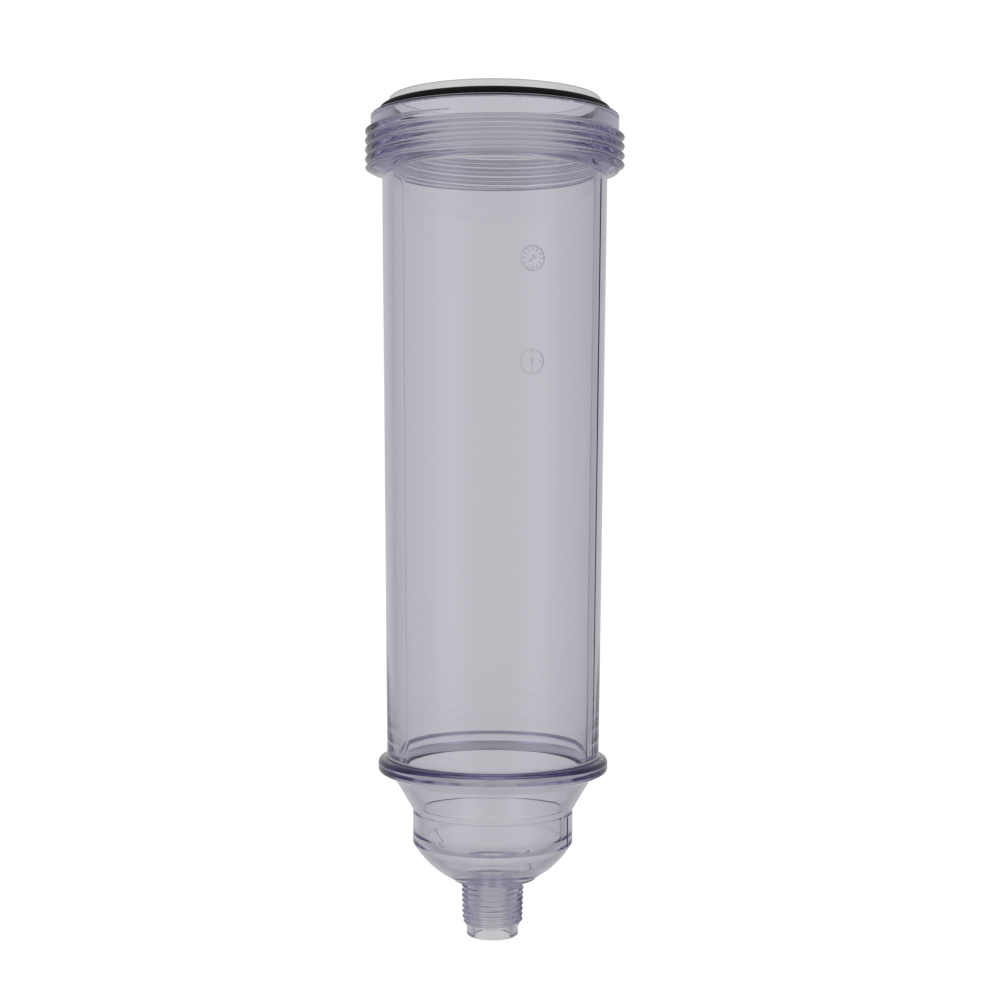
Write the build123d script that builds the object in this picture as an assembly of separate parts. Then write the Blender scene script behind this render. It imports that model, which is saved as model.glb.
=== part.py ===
"""Clear screw-on bowl of a compressed-air line filter, and the O-ring that seals its mouth.

The bowl hangs mouth up. Its axis is Z, and z = 0 is the top of the sealing shoulder.
"""

from build123d import *
import math
import os

# Sealing end. The lip enters the filter head, and the O-ring lies in the groove at its foot.
LIP_RADIUS = 36.35
LIP_HEIGHT = 5.85
LIP_ROUND = 0.7
GROOVE_DEPTH = 0.55
GROOVE_OUTER_RADIUS = 40.3
SEAL_SECTION = 3.53
SEAL_CLEARANCE = 0.05

# Collar with the head thread, 3 1/2 inch by 8 threads per inch, right hand.
COLLAR_RADIUS = 42.55
COLLAR_ROUND = 0.3
COLLAR_BOTTOM_Z = -18.6
COLLAR_TAPER_DROP = 0.8
HEAD_PITCH = 25.4 / 8
HEAD_CREST_RADIUS = 88.9 / 2
HEAD_THREAD_TOP_Z = -4.93
HEAD_THREAD_END_ANGLE = 252
HEAD_TURNS = 5
RUN_OUT_STEP = 0.15

# Tube. Both faces draw out of the mould upwards, so the radius falls with z.
WALL = 3.5
TUBE_RADIUS_AT_SHOULDER = 38.78
TUBE_SLOPE = 0.0105

# Bumper bead at the foot of the tube.
BEAD_TOP_Z = -219.5
BEAD_RADIUS = 39.5
BEAD_CROWN_TOP_Z = -219.8
BEAD_CROWN_BOTTOM_Z = -224.0
BEAD_FOOT_ROUND = 1.2
BEAD_TOP_ROUND = 2.0
BEAD_BOTTOM_ROUND = 1.4
CORNER_ROUND = 0.8

# Cone and sediment cup.
CONE_TOP = (33.84, -226.9)
CONE_BOTTOM = (27.25, -238.1)
CUP_RADIUS = 27.55
CUP_STEP = 0.5
DOME_RADIUS = 32.0
DOME_CENTRE_Z = -232.85
SEAT_Z = -260.4
INNER_CORNER_ROUND = 0.5
INNER_CONE_ROUND = 9.0
INNER_CUP_ROUND = 8.0
OUTER_CUP_ROUND = 0.4

# Drain nipple with a tapered pipe thread, 1/2 inch by 14 threads per inch.
DRAIN_BORE_RADIUS = 6.2
PIPE_PITCH = 25.4 / 14
PIPE_TAPER = 1 / 32
PIPE_END_Z = -277.8
PIPE_CREST_RADIUS_AT_END = 10.36
PIPE_THREAD_DEPTH = 1.0
PIPE_LEFT_CREST_Z = -273.4
PIPE_TURNS = 8
PIPE_CHAMFER = 0.8
NIPPLE_RADIUS = 8.85
NIPPLE_END_Z = -281.7
NIPPLE_CHAMFER = 0.5

# Fine marks of the mould: three parting lines, and two round date inserts on the tube.
PARTING_ANGLES = (98, 217.5, 338.5)
PARTING_WIDTH = 0.35
PARTING_HEIGHT = 0.12
INSERT_ANGLE = -70.9
INSERT_HEIGHTS = (-51.85, -85.25)
INSERT_RADIUS = 4.1
INSERT_RING_WIDTH = 0.35
INSERT_RELIEF = 0.15

# How far a ridge's root reaches into the wall that carries it.
ROOT_OVERLAP = 0.3


def tube_radius(z):
    return TUBE_RADIUS_AT_SHOULDER + TUBE_SLOPE * z


def bore_radius(z):
    return tube_radius(z) - WALL


def dome_height(sphere_radius, radius):
    """Height of the lower half of a sphere about the dome's centre, at a distance from the axis."""
    return DOME_CENTRE_Z - math.sqrt(sphere_radius**2 - radius**2)


def dome_arc(sphere_radius, start_radius, end_radius):
    middle = (start_radius + end_radius) / 2
    stations = (start_radius, middle, end_radius)
    return ThreePointArc(*[(r, dome_height(sphere_radius, r)) for r in stations])


def pipe_crest_radius(z):
    return PIPE_CREST_RADIUS_AT_END + PIPE_TAPER * (z - PIPE_END_Z)


def pipe_root_radius(z):
    return pipe_crest_radius(z) - PIPE_THREAD_DEPTH


def cone_slope():
    return (CONE_TOP[0] - CONE_BOTTOM[0]) / (CONE_TOP[1] - CONE_BOTTOM[1])


def inner_cone_radius(z):
    slope = cone_slope()
    return CONE_TOP[0] + slope * (z - CONE_TOP[1]) - WALL * math.hypot(1, slope)


def inner_cone_z(radius):
    return CONE_TOP[1] + (radius - inner_cone_radius(CONE_TOP[1])) / cone_slope()


def inner_corner():
    """Where the tube's bore meets the inside of the cone."""
    slope = cone_slope()
    start = inner_cone_radius(0)
    z = (bore_radius(0) - start) / (slope - TUBE_SLOPE)
    return (bore_radius(z), z)


def soften(face, corners):
    """Rounds the corners of a section: each entry is a point and a radius."""
    for point, radius in corners:
        corner = face.vertices().sort_by_distance(Vector(point))[0]
        face = fillet(corner, radius)
    return face


def bowl_section():
    """Half of the bowl's section without threads, x outwards and y up the axis."""
    collar_taper_end = (tube_radius(COLLAR_BOTTOM_Z), COLLAR_BOTTOM_Z - COLLAR_TAPER_DROP)
    bead_top = (tube_radius(BEAD_TOP_Z), BEAD_TOP_Z)
    cup_top_z = CONE_BOTTOM[1] - CUP_STEP
    dome_foot = pipe_root_radius(dome_height(DOME_RADIUS, PIPE_CREST_RADIUS_AT_END))
    cup_foot = (CUP_RADIUS, dome_height(DOME_RADIUS, CUP_RADIUS))
    cup_inner = CUP_RADIUS - WALL
    inner_cup_top = (cup_inner, inner_cone_z(cup_inner))
    seat_radius = math.sqrt((DOME_RADIUS - WALL) ** 2 - (SEAT_Z - DOME_CENTRE_Z) ** 2)
    outside = Polyline(
        (bore_radius(LIP_HEIGHT), LIP_HEIGHT),
        (LIP_RADIUS, LIP_HEIGHT),
        (LIP_RADIUS, -GROOVE_DEPTH),
        (GROOVE_OUTER_RADIUS, -GROOVE_DEPTH),
        (GROOVE_OUTER_RADIUS, 0),
        (COLLAR_RADIUS, 0),
        (COLLAR_RADIUS, COLLAR_BOTTOM_Z),
        collar_taper_end,
        bead_top,
        (BEAD_RADIUS, BEAD_CROWN_TOP_Z),
        (BEAD_RADIUS, BEAD_CROWN_BOTTOM_Z),
        CONE_TOP,
        CONE_BOTTOM,
        (CUP_RADIUS, cup_top_z),
        cup_foot,
    )
    outer_dome = dome_arc(DOME_RADIUS, CUP_RADIUS, dome_foot)
    nipple = Polyline(
        outer_dome @ 1,
        (pipe_root_radius(PIPE_END_Z), PIPE_END_Z),
        (NIPPLE_RADIUS, PIPE_END_Z),
        (NIPPLE_RADIUS, NIPPLE_END_Z + NIPPLE_CHAMFER),
        (NIPPLE_RADIUS - NIPPLE_CHAMFER, NIPPLE_END_Z),
        (DRAIN_BORE_RADIUS, NIPPLE_END_Z),
        (DRAIN_BORE_RADIUS, SEAT_Z),
        (seat_radius, SEAT_Z),
    )
    inner_dome = dome_arc(DOME_RADIUS - WALL, seat_radius, cup_inner)
    inside = Polyline(
        inner_dome @ 1,
        inner_cup_top,
        inner_corner(),
        (bore_radius(LIP_HEIGHT), LIP_HEIGHT),
    )
    section = make_face([outside, outer_dome, nipple, inner_dome, inside])
    corners = [
        ((LIP_RADIUS, LIP_HEIGHT), LIP_ROUND),
        ((COLLAR_RADIUS, 0), COLLAR_ROUND),
        (collar_taper_end, CORNER_ROUND),
        (bead_top, BEAD_FOOT_ROUND),
        ((BEAD_RADIUS, BEAD_CROWN_TOP_Z), BEAD_TOP_ROUND),
        ((BEAD_RADIUS, BEAD_CROWN_BOTTOM_Z), BEAD_BOTTOM_ROUND),
        (CONE_TOP, CORNER_ROUND),
        (cup_foot, OUTER_CUP_ROUND),
        (inner_dome @ 1, INNER_CUP_ROUND),
        (inner_cup_top, INNER_CONE_ROUND),
        (inner_corner(), INNER_CORNER_ROUND),
    ]
    return soften(section, corners)


def turned(section):
    """Revolves a half section, drawn as radius and height, about Z."""
    return revolve(Plane.XZ * section, Axis.Z)


def ridge_section(crest_radius, depth, pitch):
    """Rounded thread form on the XZ plane, centred on z = 0, with its foot sunk in the wall."""
    flank = crest_radius - 0.25 * depth
    half_crest = 0.13 * pitch
    half_foot = 0.40 * pitch
    spread = (half_foot - half_crest) / (0.75 * depth)
    sunk = crest_radius - depth - ROOT_OVERLAP
    half_sunk = half_foot + spread * ROOT_OVERLAP
    crest = ThreePointArc((flank, half_crest), (crest_radius, 0), (flank, -half_crest))
    sides = Polyline((flank, -half_crest), (sunk, -half_sunk), (sunk, half_sunk), (flank, half_crest))
    return Plane.XZ * make_face([crest, sides])


def head_thread():
    """The collar's thread, one solid a turn: a round nose on top, and a run-out in the taper."""
    section = ridge_section(HEAD_CREST_RADIUS, HEAD_CREST_RADIUS - COLLAR_RADIUS, HEAD_PITCH)
    turn = sweep(section, path=Helix(HEAD_PITCH, HEAD_PITCH, HEAD_CREST_RADIUS), is_frenet=True)
    nose = revolve(section, Axis((COLLAR_RADIUS - ROOT_OVERLAP, 0, 0), (0, 0, 1)), 90)
    slope = COLLAR_TAPER_DROP / (COLLAR_RADIUS - tube_radius(COLLAR_BOTTOM_Z))
    inner = COLLAR_RADIUS - 2 * ROOT_OVERLAP
    outer = HEAD_CREST_RADIUS + 1
    foot_z = COLLAR_BOTTOM_Z + RUN_OUT_STEP
    envelope = turned(make_face(Polyline(
        (inner, foot_z + slope * (inner - COLLAR_RADIUS)),
        (outer, foot_z + slope * (outer - COLLAR_RADIUS)),
        (outer, 0), (inner, 0),
        (inner, foot_z + slope * (inner - COLLAR_RADIUS)),
    )))
    top = Pos(0, 0, HEAD_THREAD_TOP_Z) * Rot(0, 0, HEAD_THREAD_END_ANGLE)
    turns = [top * Pos(0, 0, -(n + 1) * HEAD_PITCH) * turn for n in range(HEAD_TURNS)]
    return [top * nose] + [piece & envelope for piece in turns]


def pipe_turn(start_z):
    """One turn of the nipple's thread, which starts on the side of -X.

    Its radius is the taper's at mid-turn, so that the turns meet in steps of 0.06 mm.
    """
    crest = pipe_crest_radius(start_z + PIPE_PITCH / 2)
    section = ridge_section(crest, PIPE_THREAD_DEPTH, PIPE_PITCH)
    turn = sweep(section, path=Helix(PIPE_PITCH, PIPE_PITCH, crest), is_frenet=True)
    return Pos(0, 0, start_z) * Rot(0, 0, 180) * turn


def pipe_thread():
    """The nipple's thread, one solid a turn, chamfered at its small end and lost in the dome."""
    slope = PIPE_CHAMFER / PIPE_THREAD_DEPTH
    inner = NIPPLE_RADIUS - 2 * ROOT_OVERLAP
    outer = PIPE_CREST_RADIUS_AT_END + 1
    top_z = dome_height(DOME_RADIUS, outer) + 1
    envelope = turned(make_face(Polyline(
        (inner, PIPE_END_Z + slope * (inner - NIPPLE_RADIUS)),
        (outer, PIPE_END_Z + slope * (outer - NIPPLE_RADIUS)),
        (outer, top_z), (inner, top_z),
        (inner, PIPE_END_Z + slope * (inner - NIPPLE_RADIUS)),
    )))
    starts = [PIPE_LEFT_CREST_Z + n * PIPE_PITCH for n in range(-3, PIPE_TURNS - 3)]
    return [pipe_turn(z) & envelope for z in starts]


def on_tube_wall(angle, z):
    """A plane on the tube's outer face, its normal pointing outwards and its y axis up."""
    turn = math.radians(angle)
    outwards = Vector(math.cos(turn), math.sin(turn), 0)
    sideways = Vector(-math.sin(turn), math.cos(turn), 0)
    return Plane(origin=outwards * tube_radius(z) + Vector(0, 0, z), x_dir=sideways, z_dir=outwards)


def tube_skin(relief):
    """A shell round the tube from just inside its outer face to a given height above it."""
    low, high = -110, -40
    return turned(make_face(Polyline(
        (tube_radius(low) - ROOT_OVERLAP, low), (tube_radius(low) + relief, low),
        (tube_radius(high) + relief, high), (tube_radius(high) - ROOT_OVERLAP, high),
        (tube_radius(low) - ROOT_OVERLAP, low),
    )))


def date_insert(z):
    """Raised rim of a round mould insert, with a plain pointer across its middle."""
    rim = Circle(INSERT_RADIUS) - Circle(INSERT_RADIUS - INSERT_RING_WIDTH)
    pointer = Rectangle(INSERT_RING_WIDTH, INSERT_RADIUS)
    mark = extrude(on_tube_wall(INSERT_ANGLE, z) * (rim + pointer), 2, both=True)
    return mark & tube_skin(INSERT_RELIEF)


def parting_line(angle):
    """A hair-high ridge down the tube where two halves of the mould meet."""
    top_z = COLLAR_BOTTOM_Z - COLLAR_TAPER_DROP - 1
    bottom_z = BEAD_TOP_Z + 1
    section = make_face(Polyline(
        (tube_radius(top_z) - ROOT_OVERLAP, top_z), (tube_radius(top_z) + PARTING_HEIGHT, top_z),
        (tube_radius(bottom_z) + PARTING_HEIGHT, bottom_z),
        (tube_radius(bottom_z) - ROOT_OVERLAP, bottom_z),
        (tube_radius(top_z) - ROOT_OVERLAP, top_z),
    ))
    fin = extrude(Plane.XZ * section, PARTING_WIDTH / 2, both=True)
    return Rot(0, 0, angle) * fin


def bowl():
    shape = turned(bowl_section())
    for turn in head_thread() + pipe_thread():
        shape += turn
    for z in INSERT_HEIGHTS:
        shape += date_insert(z)
    for angle in PARTING_ANGLES:
        shape += parting_line(angle)
    return shape.fix()


def bowl_seal():
    ring_radius = LIP_RADIUS + SEAL_CLEARANCE + SEAL_SECTION / 2
    height = SEAL_SECTION / 2 - GROOVE_DEPTH
    return Pos(0, 0, height) * Torus(ring_radius, SEAL_SECTION / 2)


os.makedirs("parts", exist_ok=True)
export_step(bowl(), "parts/bowl.step")
export_step(bowl_seal(), "parts/bowl_seal.step")
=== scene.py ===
"""Looks of the clear filter bowl and its O-ring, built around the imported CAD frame.

Sections are drawn in millimetres and turned into meshes in metres; angles are in degrees.
"""

import math

import bpy
import numpy as np
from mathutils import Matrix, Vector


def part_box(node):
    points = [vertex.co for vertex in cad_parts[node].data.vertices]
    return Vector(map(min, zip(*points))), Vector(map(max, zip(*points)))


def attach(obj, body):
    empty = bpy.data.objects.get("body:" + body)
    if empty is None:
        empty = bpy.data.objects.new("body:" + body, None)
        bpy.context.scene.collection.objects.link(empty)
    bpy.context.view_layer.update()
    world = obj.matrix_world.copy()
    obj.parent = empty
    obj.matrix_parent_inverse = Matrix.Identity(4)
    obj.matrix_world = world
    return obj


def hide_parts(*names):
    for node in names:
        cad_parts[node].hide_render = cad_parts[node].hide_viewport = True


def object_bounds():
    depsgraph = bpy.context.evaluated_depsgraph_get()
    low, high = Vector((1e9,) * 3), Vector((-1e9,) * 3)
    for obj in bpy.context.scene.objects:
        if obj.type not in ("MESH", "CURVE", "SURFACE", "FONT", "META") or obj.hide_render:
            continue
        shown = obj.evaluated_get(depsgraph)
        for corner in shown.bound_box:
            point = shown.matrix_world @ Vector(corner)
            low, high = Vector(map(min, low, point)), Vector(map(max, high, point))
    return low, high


MM = 0.001

# ---------------------------------------------------------------- sizes of the bowl
LIP_RADIUS = 36.35
LIP_HEIGHT = 5.85
LIP_ROUND = 0.7
GROOVE_DEPTH = 0.55
GROOVE_OUTER_RADIUS = 40.3
COLLAR_RADIUS = 42.55
COLLAR_ROUND = 0.3
COLLAR_BOTTOM = -18.6
COLLAR_TAPER_DROP = 0.8
WALL = 3.5
TUBE_RADIUS_TOP = 38.78
TUBE_SLOPE = 0.0105
BEAD_TOP = -219.5
BEAD_RADIUS = 39.5
BEAD_CROWN_TOP = -219.8
BEAD_CROWN_BOTTOM = -224.0
BEAD_FOOT_ROUND = 1.2
BEAD_TOP_ROUND = 2.0
BEAD_BOTTOM_ROUND = 1.4
CORNER_ROUND = 0.8
EDGE_ROUND = 0.3
INNER_CORNER_ROUND = 0.5
INNER_CONE_ROUND = 9.0
INNER_CUP_ROUND = 8.0
OUTER_CUP_ROUND = 0.4
CONE_TOP = (33.84, -226.9)
CONE_BOTTOM = (27.25, -238.1)
CUP_RADIUS = 27.55
CUP_TOP = -238.6
DOME_RADIUS = 32.0
DOME_CENTRE = -232.85
SEAT = -260.4
DRAIN_BORE_RADIUS = 6.2
PIPE_END = -277.8
NIPPLE_RADIUS = 8.85
NIPPLE_END = -281.7

# Head thread, right hand, sinking into the collar at its upper end.
HEAD_PITCH = 25.4 / 8
HEAD_CREST_RADIUS = 44.45
HEAD_TOP = -4.93
HEAD_END_ANGLE = 252.0
HEAD_TURNS = 5
HEAD_FADE_ANGLE = 60.0
HEAD_START = -1.0
HEAD_FOOT = -18.45

# Tapered pipe thread on the nipple.
PIPE_PITCH = 25.4 / 14
PIPE_TAPER = 1 / 32
PIPE_CREST_RADIUS = 10.36
PIPE_DEPTH = 1.0
PIPE_LEFT_CREST = -273.4
PIPE_TURNS = 9
PIPE_CHAMFER = 0.8

# Mould marks.
PARTING_ANGLES = (98.0, 217.5, 338.5)
PARTING_RADIUS = 38.0
PARTING_WIDTH = 0.35
PARTING_HEIGHTS = (0.02, 0.025, 0.06)
CUP_PARTING_HEIGHTS = (0, 0, 0.1)
CLOCK_ANGLE = 289.1
CLOCK_HEIGHTS = (-51.85, -85.25)
CLOCK_RADIUS = 4.0
CLOCK_RELIEF = 0.4
TICK_START, TICK_END = 2.75, 3.4
POINTER_HALF = 1.5
BARB_BACK, BARB_ASIDE = 0.9, 0.5
GATE_ANGLE = 232.8
GATE_HEIGHT = -245.2
GATE_DEPTH = 0.14

# Mesh: columns round the bowl, the most that rows are apart, and the blocks with FINE times finer cells.
COLUMNS = 180
HEAD_ROW_STEP = HEAD_PITCH / 16
PIPE_ROW_STEP = PIPE_PITCH / 12
TUBE_ROW_STEP = 1.25
CUP_ROW_STEP = 1.1
DOME_ROW_STEP = 3.0
LONG_ROW_STEP = 40.0
SUPPORT = 0.14
FINE = 9
CLOCK_BLOCK_HEIGHT, CLOCK_BLOCK_ANGLE = 5.3, 7.8
GATE_BLOCK = (-248.9, -239.3, 219.3, 240.1)


def tube_radius(z):
    return TUBE_RADIUS_TOP + TUBE_SLOPE * z


def collar_foot():
    return (tube_radius(COLLAR_BOTTOM), COLLAR_BOTTOM - COLLAR_TAPER_DROP)


def dome_z(radius, r):
    return DOME_CENTRE - math.sqrt(radius**2 - r**2)


def pipe_crest(z):
    return PIPE_CREST_RADIUS + PIPE_TAPER * (z - PIPE_END)


def smoothstep(x):
    x = np.clip(x, 0, 1)
    return x * x * (3 - 2 * x)


def soft_min(a, b, softness):
    return 0.5 * (a + b - np.sqrt((a - b) ** 2 + softness))


# ---------------------------------------------------------------- section of the bowl
def corner(r, z, fillet=0.0, step=30.0):
    """A corner of the section, and the most that rows may be apart on the way to the next one."""
    return (r, z, fillet, step)


def section_corners():
    slope = (CONE_TOP[0] - CONE_BOTTOM[0]) / (CONE_TOP[1] - CONE_BOTTOM[1])
    shift = WALL * math.hypot(1, slope)
    cup_inner = CUP_RADIUS - WALL
    cone_inner_z = CONE_TOP[1] + (cup_inner - CONE_TOP[0] + shift) / slope
    inner_start = CONE_TOP[0] - shift - slope * CONE_TOP[1]
    meet = (TUBE_RADIUS_TOP - WALL - inner_start) / (slope - TUBE_SLOPE)
    seat_radius = math.sqrt((DOME_RADIUS - WALL) ** 2 - (SEAT - DOME_CENTRE) ** 2)
    dome_foot = pipe_crest(dome_z(DOME_RADIUS, PIPE_CREST_RADIUS)) - PIPE_DEPTH
    bore_top = tube_radius(LIP_HEIGHT) - WALL
    corners = [
        corner(bore_top, LIP_HEIGHT, EDGE_ROUND),
        corner(LIP_RADIUS, LIP_HEIGHT, LIP_ROUND),
        corner(LIP_RADIUS, -GROOVE_DEPTH, EDGE_ROUND),
        corner(GROOVE_OUTER_RADIUS, -GROOVE_DEPTH, EDGE_ROUND),
        corner(GROOVE_OUTER_RADIUS, 0, 0.2),
        corner(COLLAR_RADIUS, 0, COLLAR_ROUND, HEAD_ROW_STEP),
        corner(COLLAR_RADIUS, COLLAR_BOTTOM, 0.25, HEAD_ROW_STEP),
        corner(*collar_foot(), CORNER_ROUND, TUBE_ROW_STEP),
        corner(tube_radius(-100), -100, 0, LONG_ROW_STEP),
        corner(tube_radius(BEAD_TOP), BEAD_TOP, BEAD_FOOT_ROUND),
        corner(BEAD_RADIUS, BEAD_CROWN_TOP, BEAD_TOP_ROUND),
        corner(BEAD_RADIUS, BEAD_CROWN_BOTTOM, BEAD_BOTTOM_ROUND),
        corner(*CONE_TOP, CORNER_ROUND),
        corner(*CONE_BOTTOM, EDGE_ROUND),
        corner(CUP_RADIUS, CUP_TOP, 0.2, CUP_ROW_STEP),
        corner(CUP_RADIUS, dome_z(DOME_RADIUS, CUP_RADIUS), OUTER_CUP_ROUND),
    ]
    for r in np.linspace(CUP_RADIUS - 2.2, dome_foot, 16)[:-1]:
        corners.append(corner(float(r), dome_z(DOME_RADIUS, float(r)), 0, DOME_ROW_STEP))
    corners += [
        corner(dome_foot, dome_z(DOME_RADIUS, dome_foot), EDGE_ROUND, PIPE_ROW_STEP),
        corner(pipe_crest(PIPE_END) - PIPE_DEPTH, PIPE_END, 0.02, 0.5),
        corner(NIPPLE_RADIUS, PIPE_END - 0.2, 0.02, 2),
        corner(NIPPLE_RADIUS, NIPPLE_END, 0.6),
        corner(DRAIN_BORE_RADIUS, NIPPLE_END, 0.2),
        corner(DRAIN_BORE_RADIUS, SEAT, 0.35),
        corner(seat_radius, SEAT, EDGE_ROUND),
    ]
    for r in np.linspace(seat_radius, cup_inner - 4.0, 12)[1:]:
        corners.append(corner(float(r), dome_z(DOME_RADIUS - WALL, float(r)), 0, DOME_ROW_STEP))
    corners += [
        corner(cup_inner, dome_z(DOME_RADIUS - WALL, cup_inner), INNER_CUP_ROUND),
        corner(cup_inner, cone_inner_z, INNER_CONE_ROUND),
        corner(tube_radius(meet) - WALL, meet, INNER_CORNER_ROUND, LONG_ROW_STEP),
    ]
    return corners


def fillet_points(before, here, after, radius):
    """Points of the arc that rounds a corner, from the side of `before` to that of `after`."""
    a, b = np.subtract(before, here), np.subtract(after, here)
    la, lb = np.linalg.norm(a), np.linalg.norm(b)
    a, b = a / la, b / lb
    half = math.acos(max(-1.0, min(1.0, float(a @ b)))) / 2
    if radius <= 0 or half > math.radians(89.5):
        return [np.array(here, float)]
    back = min(radius / math.tan(half), 0.48 * la, 0.48 * lb)
    radius = back * math.tan(half)
    centre = np.array(here) + (a + b) / np.linalg.norm(a + b) * radius / math.sin(half)
    turn = math.pi - 2 * half
    count = max(2, round(turn / math.radians(22 if radius > 0.5 else 32)))
    start, end = np.array(here) + a * back - centre, np.array(here) + b * back - centre
    points = []
    for k in range(count + 1):
        t = k / count
        s = math.sin(turn)
        points.append(centre + start * math.sin((1 - t) * turn) / s + end * math.sin(t * turn) / s)
    return points


def section_rows():
    """The closed section as rows of (r, z), dense where it carries detail."""
    corners = section_corners()
    rows = []
    arcs = []
    for k, (r, z, fillet, _) in enumerate(corners):
        before, after = corners[k - 1], corners[(k + 1) % len(corners)]
        arcs.append(fillet_points(before[:2], (r, z), after[:2], fillet))
    for k, arc in enumerate(arcs):
        rows += arc
        start, end = arc[-1], arcs[(k + 1) % len(arcs)][0]
        length = float(np.linalg.norm(end - start))
        step = corners[k][3]
        stations = [0.0, length]
        if length > 4 * SUPPORT and len(arc) > 1 and step > 1:
            stations = [0.0, SUPPORT, length - SUPPORT, length]
        filled = [stations[0]]
        for lo, hi in zip(stations[:-1], stations[1:]):
            parts = max(1, math.ceil((hi - lo) / step))
            filled += [lo + (hi - lo) * (i + 1) / parts for i in range(parts)]
        rows += [start + (end - start) * s / length for s in filled[1:-1]]
    return np.array(rows)


# ---------------------------------------------------------------- relief on the section
def ridge(distance, pitch, depth):
    """Height of a rounded thread at a distance along the axis from its crest."""
    d = np.abs(distance) / pitch
    crest = 1 - 0.25 * (d / 0.13) ** 2
    flank = 0.75 * (0.40 - d) / 0.27
    h = np.where(d < 0.13, crest, flank)
    return depth * 0.5 * (h + np.sqrt(h * h + 0.0064))


def head_relief(r, z, angle):
    """How far the head thread stands out of the collar."""
    turn = (angle - HEAD_END_ANGLE) % 360 - 360
    taper = (COLLAR_RADIUS - collar_foot()[0]) / COLLAR_TAPER_DROP
    limit = COLLAR_RADIUS + (z - HEAD_FOOT) * taper
    depth = HEAD_CREST_RADIUS - COLLAR_RADIUS
    height = np.zeros(np.broadcast(z, angle).shape)
    for n in range(HEAD_TURNS + 1):
        crest_z = HEAD_TOP + HEAD_PITCH * turn / 360 - HEAD_PITCH * n
        lift = ridge(z - crest_z, HEAD_PITCH, depth)
        if n == 0:
            sunk = depth * (1 + turn / HEAD_FADE_ANGLE)
            lift = np.clip(lift - np.clip(sunk, 0, None), 0, None)
        height = np.maximum(height, lift)
    height = soft_min(height, limit - r, 0.01)
    edge = smoothstep((HEAD_START - z) / 1.2)
    return np.clip(height, 0, None) * edge


def pipe_relief(r, z, angle):
    """How far the tapered thread stands out of the nipple."""
    height = np.zeros(np.broadcast(z, angle).shape)
    for n in range(-4, PIPE_TURNS):
        crest_z = PIPE_LEFT_CREST + PIPE_PITCH * ((angle - 180) % 360 / 360 + n)
        height = np.maximum(height, ridge(z - crest_z, PIPE_PITCH, PIPE_DEPTH))
    spare = NIPPLE_RADIUS + (z - PIPE_END) * PIPE_DEPTH / PIPE_CHAMFER - r
    return np.clip(soft_min(height, spare, 0.004), 0, None)


def parting_relief(z, angle, low, high, heights):
    """The hair lines that the mould's halves leave."""
    height = 0.0
    for line, tall in zip(PARTING_ANGLES, heights):
        off = np.abs((angle - line + 180) % 360 - 180) * math.radians(1) * PARTING_RADIUS
        height = height + tall * np.clip(1.4 * (1 - off / (PARTING_WIDTH / 2)), 0, 1)
    ends = smoothstep((z - low) / 0.8) * smoothstep((high - z) / 0.8)
    return height * ends


def stroke(x, y, x0, y0, x1, y1, width):
    """1 on a line from one point to another, falling to 0 at half its width."""
    dx, dy = x1 - x0, y1 - y0
    t = np.clip(((x - x0) * dx + (y - y0) * dy) / (dx * dx + dy * dy), 0, 1)
    off = np.hypot(x - x0 - t * dx, y - y0 - t * dy)
    return 1 - smoothstep(off / (width / 2) - 0.5)


def clock_relief(x, y, ticks, pointer):
    """A mould's date insert with plain ticks in place of figures. x and y in millimetres."""
    radius = np.hypot(x, y)
    h = 1 - smoothstep(np.abs(radius - CLOCK_RADIUS) / 0.14 - 0.5)
    for k in range(ticks):
        turn = 2 * math.pi * k / ticks
        right, up = math.sin(turn), math.cos(turn)
        start, end = (TICK_START * right, TICK_START * up), (TICK_END * right, TICK_END * up)
        h = np.maximum(h, 0.8 * stroke(x, y, *start, *end, 0.34))
    right, up = math.sin(math.radians(pointer)), math.cos(math.radians(pointer))
    tip, tail = (POINTER_HALF * right, POINTER_HALF * up), (-POINTER_HALF * right, -POINTER_HALF * up)
    h = np.maximum(h, stroke(x, y, *tail, *tip, 0.36))
    for side in (-1, 1):
        barb_x = tip[0] - BARB_BACK * right + BARB_ASIDE * side * up
        barb_y = tip[1] - BARB_BACK * up - BARB_ASIDE * side * right
        h = np.maximum(h, stroke(x, y, *tip, barb_x, barb_y, 0.34))
    return CLOCK_RELIEF * h


def tube_marks(z, angle):
    """Both date inserts on the tube."""
    x = (angle - CLOCK_ANGLE) * math.radians(1) * tube_radius(CLOCK_HEIGHTS[0])
    upper = clock_relief(x, z - CLOCK_HEIGHTS[0], 12, 42)
    lower = clock_relief(x, z - CLOCK_HEIGHTS[1], 4, 0)
    return upper + lower


def cup_marks(z, angle):
    """The shallow dent and the scratch where the moulding was cut from its gate."""
    x = (angle - GATE_ANGLE) * math.radians(1) * CUP_RADIUS
    y = z - GATE_HEIGHT
    dent = -GATE_DEPTH * np.exp(-(x * x + y * y) / 1.9)
    rim = 0.05 * np.exp(-((np.hypot(x, y) - 1.8) ** 2) / 0.12)
    scratch = -GATE_DEPTH * stroke(x, y, -3.4, 4.3, 0.2, 0.4, 0.4)
    return dent + rim + scratch


# ---------------------------------------------------------------- meshes
def mesh_object(name, points, faces):
    mesh = bpy.data.meshes.new(name)
    mesh.from_pydata((np.asarray(points) * MM).tolist(), [], faces)
    mesh.validate()
    mesh.shade_smooth()
    mesh.update()
    piece = bpy.data.objects.new(name, mesh)
    bpy.context.scene.collection.objects.link(piece)
    return piece


def turned_point(r, z, angle):
    a = np.radians(angle)
    return np.stack(np.broadcast_arrays(r * np.cos(a), r * np.sin(a), z), axis=-1)


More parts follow.
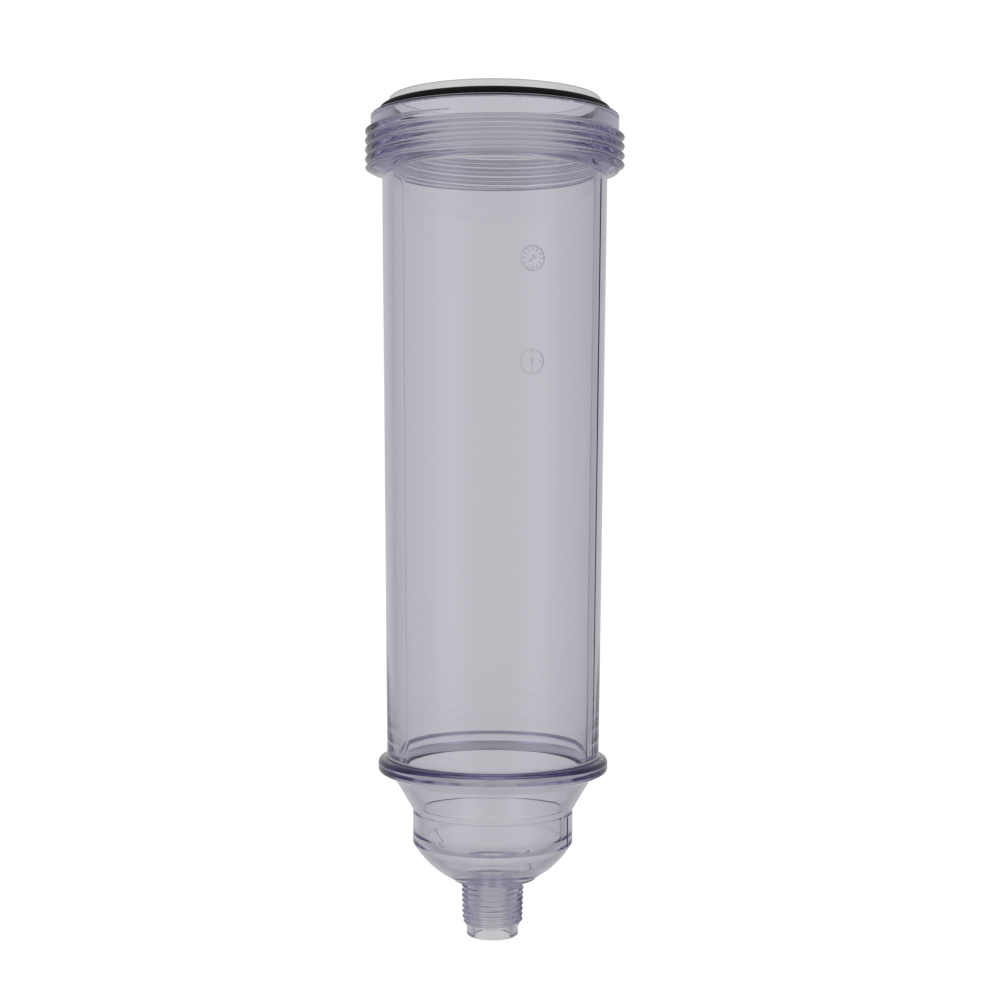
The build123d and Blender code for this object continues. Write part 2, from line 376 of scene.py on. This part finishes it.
def column_angles():
    """Evenly spaced columns, with a few more across each parting line."""
    even = [360 * k / COLUMNS for k in range(COLUMNS)]
    lines = []
    for line in PARTING_ANGLES:
        half = math.degrees(PARTING_WIDTH / 2 / PARTING_RADIUS)
        lines += [line + half * s for s in (-1.0, -0.35, 0.35, 1.0)]
        even = [a for a in even if abs(a - line) > 0.7]
    return np.array(sorted(even + lines))


class Window:
    """A block of cells that is cut out of the bowl's grid and filled with a finer one."""

    def __init__(self, rows, angles, z_low, z_high, a_low, a_high, marks):
        outside = rows[: outer_end(rows)]
        inside = [i for i, (_, z) in enumerate(outside) if z_low <= z <= z_high]
        self.i0, self.i1 = min(inside), max(inside)
        columns = [j for j, a in enumerate(angles) if a_low <= a <= a_high]
        self.j0, self.j1 = min(columns), max(columns)
        self.marks = marks

    def holds(self, i, j):
        return self.i0 <= i < self.i1 and self.j0 <= j < self.j1


def outer_end(rows):
    """Index of the row at the foot of the nipple, where the outside ends."""
    return int(np.argmin(rows[:, 1] * 10 - rows[:, 0]))


def relief(rows, angles):
    """The bowl's radius on every row and column."""
    r = np.repeat(rows[:, :1], len(angles), axis=1)
    z = np.repeat(rows[:, 1:], len(angles), axis=1)
    a = np.repeat(angles[None, :], len(rows), axis=0)
    index = np.arange(len(rows))[:, None]
    outside = index <= outer_end(rows)
    collar = outside & (z < HEAD_START) & (z > collar_foot()[1])
    pipe = outside & (z < dome_z(DOME_RADIUS, 14)) & (z > PIPE_END - 0.01)
    tube_low, tube_high = BEAD_TOP + 0.9, -23
    tube = outside & (z < tube_high) & (z > tube_low)
    cup_low, cup_high = dome_z(DOME_RADIUS, CUP_RADIUS) + 0.4, CUP_TOP - 0.4
    cup = outside & (z < cup_high) & (z > cup_low)
    out = r + np.where(collar, head_relief(r, z, a), 0) + np.where(pipe, pipe_relief(r, z, a), 0)
    out += np.where(tube, parting_relief(z, a, tube_low, tube_high, PARTING_HEIGHTS), 0)
    out += np.where(cup, parting_relief(z, a, cup_low, cup_high, CUP_PARTING_HEIGHTS), 0)
    return out


def bowl_mesh():
    rows, angles = section_rows(), column_angles()
    radius = relief(rows, angles)
    count, wide = len(rows), len(angles)
    points = list(turned_point(radius, rows[:, 1:], angles[None, :]).reshape(-1, 3))
    around_clock = (CLOCK_ANGLE - CLOCK_BLOCK_ANGLE, CLOCK_ANGLE + CLOCK_BLOCK_ANGLE)
    windows = []
    for height in CLOCK_HEIGHTS:
        span = (height - CLOCK_BLOCK_HEIGHT, height + CLOCK_BLOCK_HEIGHT)
        windows.append(Window(rows, angles, *span, *around_clock, tube_marks))
    windows.append(Window(rows, angles, *GATE_BLOCK, cup_marks))
    faces, edges = [], {}
    for window in windows:
        faces += fill_window(window, rows, angles, points, edges)
    for i in range(count):
        k = (i + 1) % count
        for j in range(wide):
            if any(w.holds(i, j) for w in windows):
                continue
            m = (j + 1) % wide
            loop = [i * wide + j, k * wide + j, k * wide + m, i * wide + m]
            face = []
            for a, b in zip(loop, loop[1:] + loop[:1]):
                face.append(a)
                face += edges.get((a, b), [])
                face += reversed(edges.get((b, a), []))
            faces.append(face)
    return mesh_object("bowl_shell", points, faces)


def fill_window(window, rows, angles, points, edges):
    """Adds a window's fine grid.

    The new points on its rim are recorded by the coarse edge that they split.
    """
    wide = len(angles)
    n_rows, n_cols = (window.i1 - window.i0) * FINE, (window.j1 - window.j0) * FINE
    s = np.arange(n_rows + 1) / FINE + window.i0
    t = np.arange(n_cols + 1) / FINE + window.j0
    r = np.interp(s, np.arange(len(rows)), rows[:, 0])
    z = np.interp(s, np.arange(len(rows)), rows[:, 1])
    a = np.interp(t, np.arange(wide), angles)
    full = r[:, None] + window.marks(z[:, None], a[None, :])
    place = turned_point(full, z[:, None], a[None, :])
    index = np.zeros((n_rows + 1, n_cols + 1), int)
    for p in range(n_rows + 1):
        for q in range(n_cols + 1):
            if p % FINE == 0 and q % FINE == 0:
                index[p, q] = (window.i0 + p // FINE) * wide + window.j0 + q // FINE
                if 0 < p < n_rows and 0 < q < n_cols:
                    points[index[p, q]] = place[p, q]
            else:
                index[p, q] = len(points)
                points.append(place[p, q])
    for line in (index[0], index[-1], index[:, 0], index[:, -1]):
        for k in range(0, len(line) - 1, FINE):
            edges[int(line[k]), int(line[k + FINE])] = [int(v) for v in line[k + 1 : k + FINE]]
    return [
        [int(index[p, q]), int(index[p + 1, q]), int(index[p + 1, q + 1]), int(index[p, q + 1])]
        for p in range(n_rows)
        for q in range(n_cols)
    ]


def seal_mesh(low, high):
    """The O-ring, with the faint flash line that its two mould halves leave on its outer side."""
    minor = (high.z - low.z) / 2 / MM
    major = high.x / MM - minor
    middle = (high.z + low.z) / 2 / MM
    around, across = 320, 48
    points, faces = [], []
    for i in range(around):
        a = 360 * i / around
        for j in range(across):
            b = 2 * math.pi * j / across
            section = minor * (1 - 0.012 * (1 - math.exp(-((math.sin(b) / 0.05) ** 2))))
            r, z = major + section * math.cos(b), middle + section * math.sin(b)
            points.append(turned_point(r, z, a))
            k, m = (i + 1) % around, (j + 1) % across
            faces.append([i * across + j, k * across + j, k * across + m, i * across + m])
    return mesh_object("seal_ring", points, faces)


# ---------------------------------------------------------------- materials
class Nodes:
    """Short calls for building a node tree."""

    def __init__(self, owner):
        owner.use_nodes = True
        self.tree = owner.node_tree
        self.tree.nodes.clear()

    def add(self, kind, **settings):
        node = self.tree.nodes.new(kind)
        for key, value in settings.items():
            setattr(node, key, value)
        return node

    def set(self, node, **values):
        for key, value in values.items():
            node.inputs[key.replace("_", " ")].default_value = value
        return node

    def link(self, start, end):
        self.tree.links.new(start, end)

    def noise(self, vector, scale, detail=3.0, roughness=0.5):
        node = self.add("ShaderNodeTexNoise")
        self.set(node, Scale=scale, Detail=detail, Roughness=roughness)
        self.link(vector, node.inputs["Vector"])
        return node.outputs["Fac"]

    def stretched(self, vector, scale):
        node = self.add("ShaderNodeMapping")
        node.inputs["Scale"].default_value = scale
        self.link(vector, node.inputs["Vector"])
        return node.outputs["Vector"]

    def mapped(self, value, low, high, to_low, to_high):
        node = self.add("ShaderNodeMapRange", clamp=True)
        limits = {"From Min": low, "From Max": high, "To Min": to_low, "To Max": to_high}
        for key, number in limits.items():
            node.inputs[key].default_value = number
        self.link(value, node.inputs["Value"])
        return node.outputs["Result"]

    def math(self, operation, a, b):
        node = self.add("ShaderNodeMath", operation=operation)
        for socket, value in zip(node.inputs, (a, b)):
            if isinstance(value, (int, float)):
                socket.default_value = value
            else:
                self.link(value, socket)
        return node.outputs[0]

    def bump(self, height, strength, distance, below=None):
        node = self.add("ShaderNodeBump")
        self.set(node, Strength=strength, Distance=distance)
        self.link(height, node.inputs["Height"])
        if below is not None:
            self.link(below, node.inputs["Normal"])
        return node.outputs["Normal"]


def polycarbonate():
    """Clear, faintly violet-grey plastic: moulded surface, fine scratches, colour in its depth."""
    material = bpy.data.materials.new("clear_polycarbonate")
    n = Nodes(material)
    out = n.add("ShaderNodeOutputMaterial")
    shader = n.add("ShaderNodeBsdfPrincipled")
    place = n.add("ShaderNodeTexCoord").outputs["Object"]
    n.set(shader, Base_Color=(0.985, 0.985, 0.99, 1), IOR=1.585, Transmission_Weight=1.0)
    flow = n.noise(n.stretched(place, (60, 60, 9)), 1.0, 2.0)
    haze = n.noise(place, 340, 4.0)
    scratches = n.noise(n.stretched(place, (2600, 2600, 90)), 1.0, 2.0)
    scratches = n.mapped(scratches, 0.66, 0.74, 0.0, 1.0)
    rough = n.mapped(haze, 0.35, 0.75, 0.008, 0.03)
    scuffed = n.math("MAXIMUM", rough, n.math("MULTIPLY", scratches, 0.05))
    n.link(scuffed, shader.inputs["Roughness"])
    wave = n.bump(flow, 0.35, 0.00025)
    grooves = n.bump(n.math("MULTIPLY", scratches, -1.0), 0.05, 0.00002, wave)
    n.link(grooves, shader.inputs["Normal"])
    n.link(shader.outputs["BSDF"], out.inputs["Surface"])
    depth = n.add("ShaderNodeVolumeAbsorption")
    n.set(depth, Color=(0.333, 0.283, 0.65, 1), Density=30.0)
    n.link(depth.outputs["Volume"], out.inputs["Volume"])
    return material


def nitrile():
    """Black moulded rubber: a dull skin with fine grain and a little bloom."""
    material = bpy.data.materials.new("seal_rubber")
    n = Nodes(material)
    out = n.add("ShaderNodeOutputMaterial")
    shader = n.add("ShaderNodeBsdfPrincipled")
    place = n.add("ShaderNodeTexCoord").outputs["Object"]
    bloom = n.mapped(n.noise(place, 120, 4.0), 0.3, 0.8, 0.0, 1.0)
    mix = n.add("ShaderNodeMix", data_type="RGBA")
    mix.inputs[6].default_value = (0.004, 0.0045, 0.004, 1)
    mix.inputs[7].default_value = (0.009, 0.010, 0.008, 1)
    n.link(bloom, mix.inputs[0])
    n.link(mix.outputs[2], shader.inputs["Base Color"])
    shader.inputs["Specular IOR Level"].default_value = 0.18
    n.link(n.mapped(n.noise(place, 900, 3.0), 0.3, 0.7, 0.42, 0.58), shader.inputs["Roughness"])
    n.link(n.bump(n.noise(place, 5200, 3.0), 0.25, 0.00003), shader.inputs["Normal"])
    n.link(shader.outputs["BSDF"], out.inputs["Surface"])
    return material


# ---------------------------------------------------------------- surroundings
SEEN_LEVEL = 1.05
REST_LEVEL = 0.35
BACK_BOX = {"weight": 0.30, "width": 30.0, "turn": 5.0}
SIDE_BOXES = {"weight": 0.25, "width": 14.0, "turn": 130.0}
FLOOR_HALF = 6.0
FLOOR_GAP = 0.0004
# With fewer, the light that is caught inside the threads comes out black.
LIGHT_BOUNCES = 128


def bell(n, angle, weight, width):
    """weight times a bell curve of an angle in degrees, with that standard deviation."""
    power = n.math("MULTIPLY", n.math("MULTIPLY", angle, angle), -0.5 / width**2)
    return n.math("MULTIPLY", n.math("POWER", math.e, power), weight)


def studio_level(n, direction):
    """Brightness of the studio in a direction: a soft box behind, and two upright ones in front."""
    split = n.add("ShaderNodeSeparateXYZ")
    n.link(direction, split.inputs["Vector"])
    x, y = split.outputs["X"], split.outputs["Y"]
    degrees = 180 / math.pi
    turn = math.radians(BACK_BOX["turn"])
    back, left = n.math("MULTIPLY", y, math.cos(turn)), n.math("MULTIPLY", x, math.sin(turn))
    along = n.math("SUBTRACT", back, left)
    off_back = n.math("MULTIPLY", n.math("ARCCOSINE", along, 0.0), degrees)
    level = n.math("ADD", bell(n, off_back, BACK_BOX["weight"], BACK_BOX["width"]), REST_LEVEL)
    round_axis = n.math("MULTIPLY", n.math("ARCTAN2", n.math("ABSOLUTE", x, 0.0), y), degrees)
    off_side = n.math("SUBTRACT", round_axis, SIDE_BOXES["turn"])
    return n.math("ADD", level, bell(n, off_side, SIDE_BOXES["weight"], SIDE_BOXES["width"]))


def studio_world():
    world = bpy.data.worlds.new("studio")
    bpy.context.scene.world = world
    n = Nodes(world)
    out = n.add("ShaderNodeOutputWorld")
    around = n.add("ShaderNodeBackground")
    around.inputs["Color"].default_value = (1, 1, 1, 1)
    direction = n.add("ShaderNodeTexCoord").outputs["Generated"]
    n.link(studio_level(n, direction), around.inputs["Strength"])
    seen = n.add("ShaderNodeBackground")
    seen.inputs["Color"].default_value = (1, 1, 1, 1)
    seen.inputs["Strength"].default_value = SEEN_LEVEL
    path = n.add("ShaderNodeLightPath")
    mix = n.add("ShaderNodeMixShader")
    n.link(path.outputs["Is Camera Ray"], mix.inputs[0])
    n.link(around.outputs[0], mix.inputs[1])
    n.link(seen.outputs[0], mix.inputs[2])
    n.link(mix.outputs[0], out.inputs["Surface"])


def pale_floor(height):
    half = FLOOR_HALF
    mesh = bpy.data.meshes.new("floor")
    corners = [(-half, -half, height), (half, -half, height), (half, half, height), (-half, half, height)]
    mesh.from_pydata(corners, [], [[0, 1, 2, 3]])
    floor = bpy.data.objects.new("floor", mesh)
    bpy.context.scene.collection.objects.link(floor)
    material = bpy.data.materials.new("floor_paper")
    n = Nodes(material)
    out = n.add("ShaderNodeOutputMaterial")
    paper = n.add("ShaderNodeEmission")
    paper.inputs["Strength"].default_value = SEEN_LEVEL
    n.link(paper.outputs[0], out.inputs["Surface"])
    mesh.materials.append(material)
    floor.visible_transmission = False
    floor.visible_glossy = False
    floor.visible_diffuse = False
    floor.visible_shadow = False


def camera():
    data = bpy.data.cameras.new("camera")
    data.lens = 64.08
    data.sensor_width = 36.0
    data.clip_start, data.clip_end = 0.01, 50
    cam = bpy.data.objects.new("camera", data)
    cam.location = (0.00209, -0.6133, -0.1157)
    look_down, roll = 1.445, -0.19
    cam.rotation_euler = (math.radians(90 - look_down), math.radians(roll), 0)
    bpy.context.scene.collection.objects.link(cam)
    bpy.context.scene.camera = cam


# ---------------------------------------------------------------- scene
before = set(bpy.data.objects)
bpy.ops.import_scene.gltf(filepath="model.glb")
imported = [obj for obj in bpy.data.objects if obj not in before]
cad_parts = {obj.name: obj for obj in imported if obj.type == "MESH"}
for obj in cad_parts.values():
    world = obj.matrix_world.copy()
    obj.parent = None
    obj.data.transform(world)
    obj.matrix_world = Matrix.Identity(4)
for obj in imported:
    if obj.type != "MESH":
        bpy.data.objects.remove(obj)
cad_low, cad_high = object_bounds()

bowl = bowl_mesh()
bowl.data.materials.append(polycarbonate())
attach(bowl, "bowl")
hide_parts("bowl")

seal = seal_mesh(*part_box("bowl_seal"))
seal.data.materials.append(nitrile())
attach(seal, "seal")
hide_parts("bowl_seal")

studio_world()
pale_floor(cad_low.z - FLOOR_GAP)
camera()

scene = bpy.context.scene
scene.view_settings.view_transform = "Standard"
scene.view_settings.look = "None"
scene.cycles.max_bounces = LIGHT_BOUNCES
scene.cycles.transmission_bounces = LIGHT_BOUNCES
scene.cycles.glossy_bounces = LIGHT_BOUNCES
scene.cycles.transparent_max_bounces = 16
scene.cycles.caustics_reflective = False
scene.cycles.caustics_refractive = True
